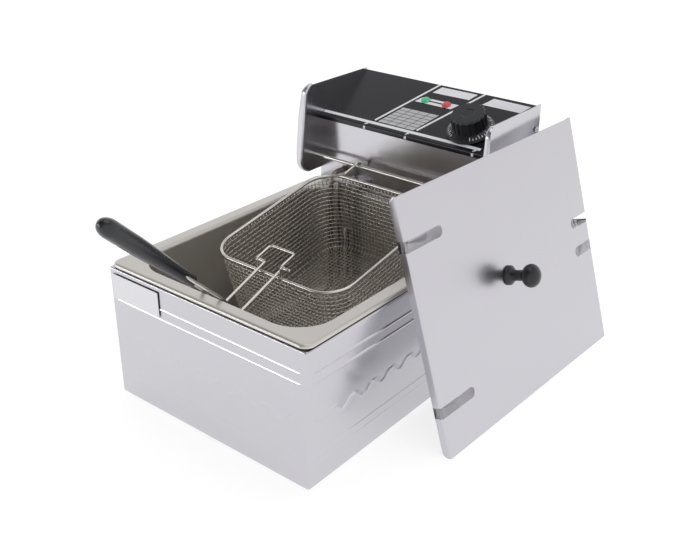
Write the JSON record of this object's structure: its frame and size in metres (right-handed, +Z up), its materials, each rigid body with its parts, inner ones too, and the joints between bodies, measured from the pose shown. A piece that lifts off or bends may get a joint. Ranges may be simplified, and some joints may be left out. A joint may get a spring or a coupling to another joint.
{
  "type": "deep fryer",
  "caption": "Counter-top electric deep fryer: steel body, lift-out oil tank, lift-off control head with dial and lamps, wire basket with folding handle, and a slotted lid leaning on its side.",
  "frame": {"origin": "Middle of the footprint of the whole set as it stands, on the counter.", "axes": "+Z is up. -Y is the front, where the basket handle points and the control panel faces; +Y is the rear. +X is the side the lid leans against, to the right of someone facing the front."},
  "size_m": [0.3668, 0.5808, 0.2946],
  "materials": {
    "brushed_steel": "satin stainless sheet",
    "tank_steel": "drawn stainless sheet",
    "wire_steel": "bright wire",
    "element_steel": "heat-tinted tube",
    "badge_metal": "plain satin plate",
    "brass": "plain",
    "black_film": "smooth printed film",
    "black_plastic": "fine satin moulding",
    "pale_plastic": "plain moulding",
    "green_lens": "clear moulded lens",
    "red_lens": "clear moulded lens",
    "foot_rubber": "soft foot"
  },
  "bodies": {
    "body": {"body_shell": "brushed_steel", "bottom_plate": "brushed_steel", "foot_front_left": "foot_rubber", "foot_front_right": "foot_rubber", "foot_rear_left": "foot_rubber", "foot_rear_right": "foot_rubber", "badge": "badge_metal", "rear_bracket": "brushed_steel"},
    "tank": {"tank": "tank_steel"},
    "head": {"head_front_plate": "brushed_steel", "head_base": "brushed_steel", "hook_plate": "brushed_steel", "control_panel": "brushed_steel", "panel_film": "black_film", "cheek_left": "brushed_steel", "cheek_right": "brushed_steel", "back_cover": "brushed_steel", "cheek_screw_left": "wire_steel", "cheek_screw_right": "wire_steel", "hanger_bar": "wire_steel", "heating_element": "element_steel", "element_nut_left": "brass", "element_nut_right": "brass", "sensor_guard": "brushed_steel", "sensing_bulb": "wire_steel", "thermostat": "brass", "lamp_lens_green": "green_lens", "lamp_lens_red": "red_lens", "lamp_holder_green": "pale_plastic", "lamp_holder_red": "pale_plastic", "terminal_block": "pale_plastic", "thermal_cutout": "black_plastic", "cable_gland": "black_plastic", "safety_switch": "black_plastic", "lead_to_thermostat": "pale_plastic", "lead_to_element": "pale_plastic", "lead_to_cutout": "pale_plastic"},
    "knob": {"thermostat_knob": "black_plastic", "thermostat_shaft": "brass"},
    "reset_button": {"reset_button": "red_lens"},
    "plunger": {"switch_plunger": "pale_plastic"},
    "basket": {"basket_mesh": "wire_steel", "basket_rim": "wire_steel", "basket_hook_left": "wire_steel", "basket_hook_right": "wire_steel", "handle_bracket": "wire_steel"},
    "handle": {"handle_wires": "wire_steel", "handle_grip": "black_plastic"},
    "lid": {"lid_plate": "brushed_steel", "lid_knob": "black_plastic", "lid_knob_screw": "wire_steel"}
  },
  "joints": [
    {"name": "tank_lift", "type": "slide", "parent": "body", "child": "tank", "axis": [0, 0, 1], "range_m": [0, 0.045]},
    {"name": "head_lift", "type": "slide", "parent": "tank", "child": "head", "axis": [0, 0, 1], "range_m": [0, 0.16]},
    {"name": "basket_lift", "type": "slide", "parent": "head", "child": "basket", "axis": [0, 0, 1], "range_m": [0, 0.15]},
    {"name": "handle_fold", "type": "hinge", "parent": "basket", "child": "handle", "pos_m": [-0.04341, -0.07696, 0.166], "axis": [-1, 0, 0], "range_deg": [0, 85]},
    {"name": "lid_lift", "type": "slide", "parent": "body", "child": "lid", "axis": [0, 0, 1], "range_m": [0, 0.2]},
    {"name": "knob_turn", "type": "hinge", "parent": "head", "child": "knob", "pos_m": [0.02959, 0.18186, 0.26434], "axis": [0, -0.3867, 0.9222], "range_deg": [-270, 0]},
    {"name": "reset_press", "type": "slide", "parent": "head", "child": "reset_button", "axis": [0, -1, 0], "range_m": [0, 0.002], "stiffness_N_per_m": 300},
    {"name": "plunger_press", "type": "slide", "parent": "head", "child": "plunger", "axis": [0, 1, 0], "range_m": [0, 0.0015], "stiffness_N_per_m": 200}
  ]
}
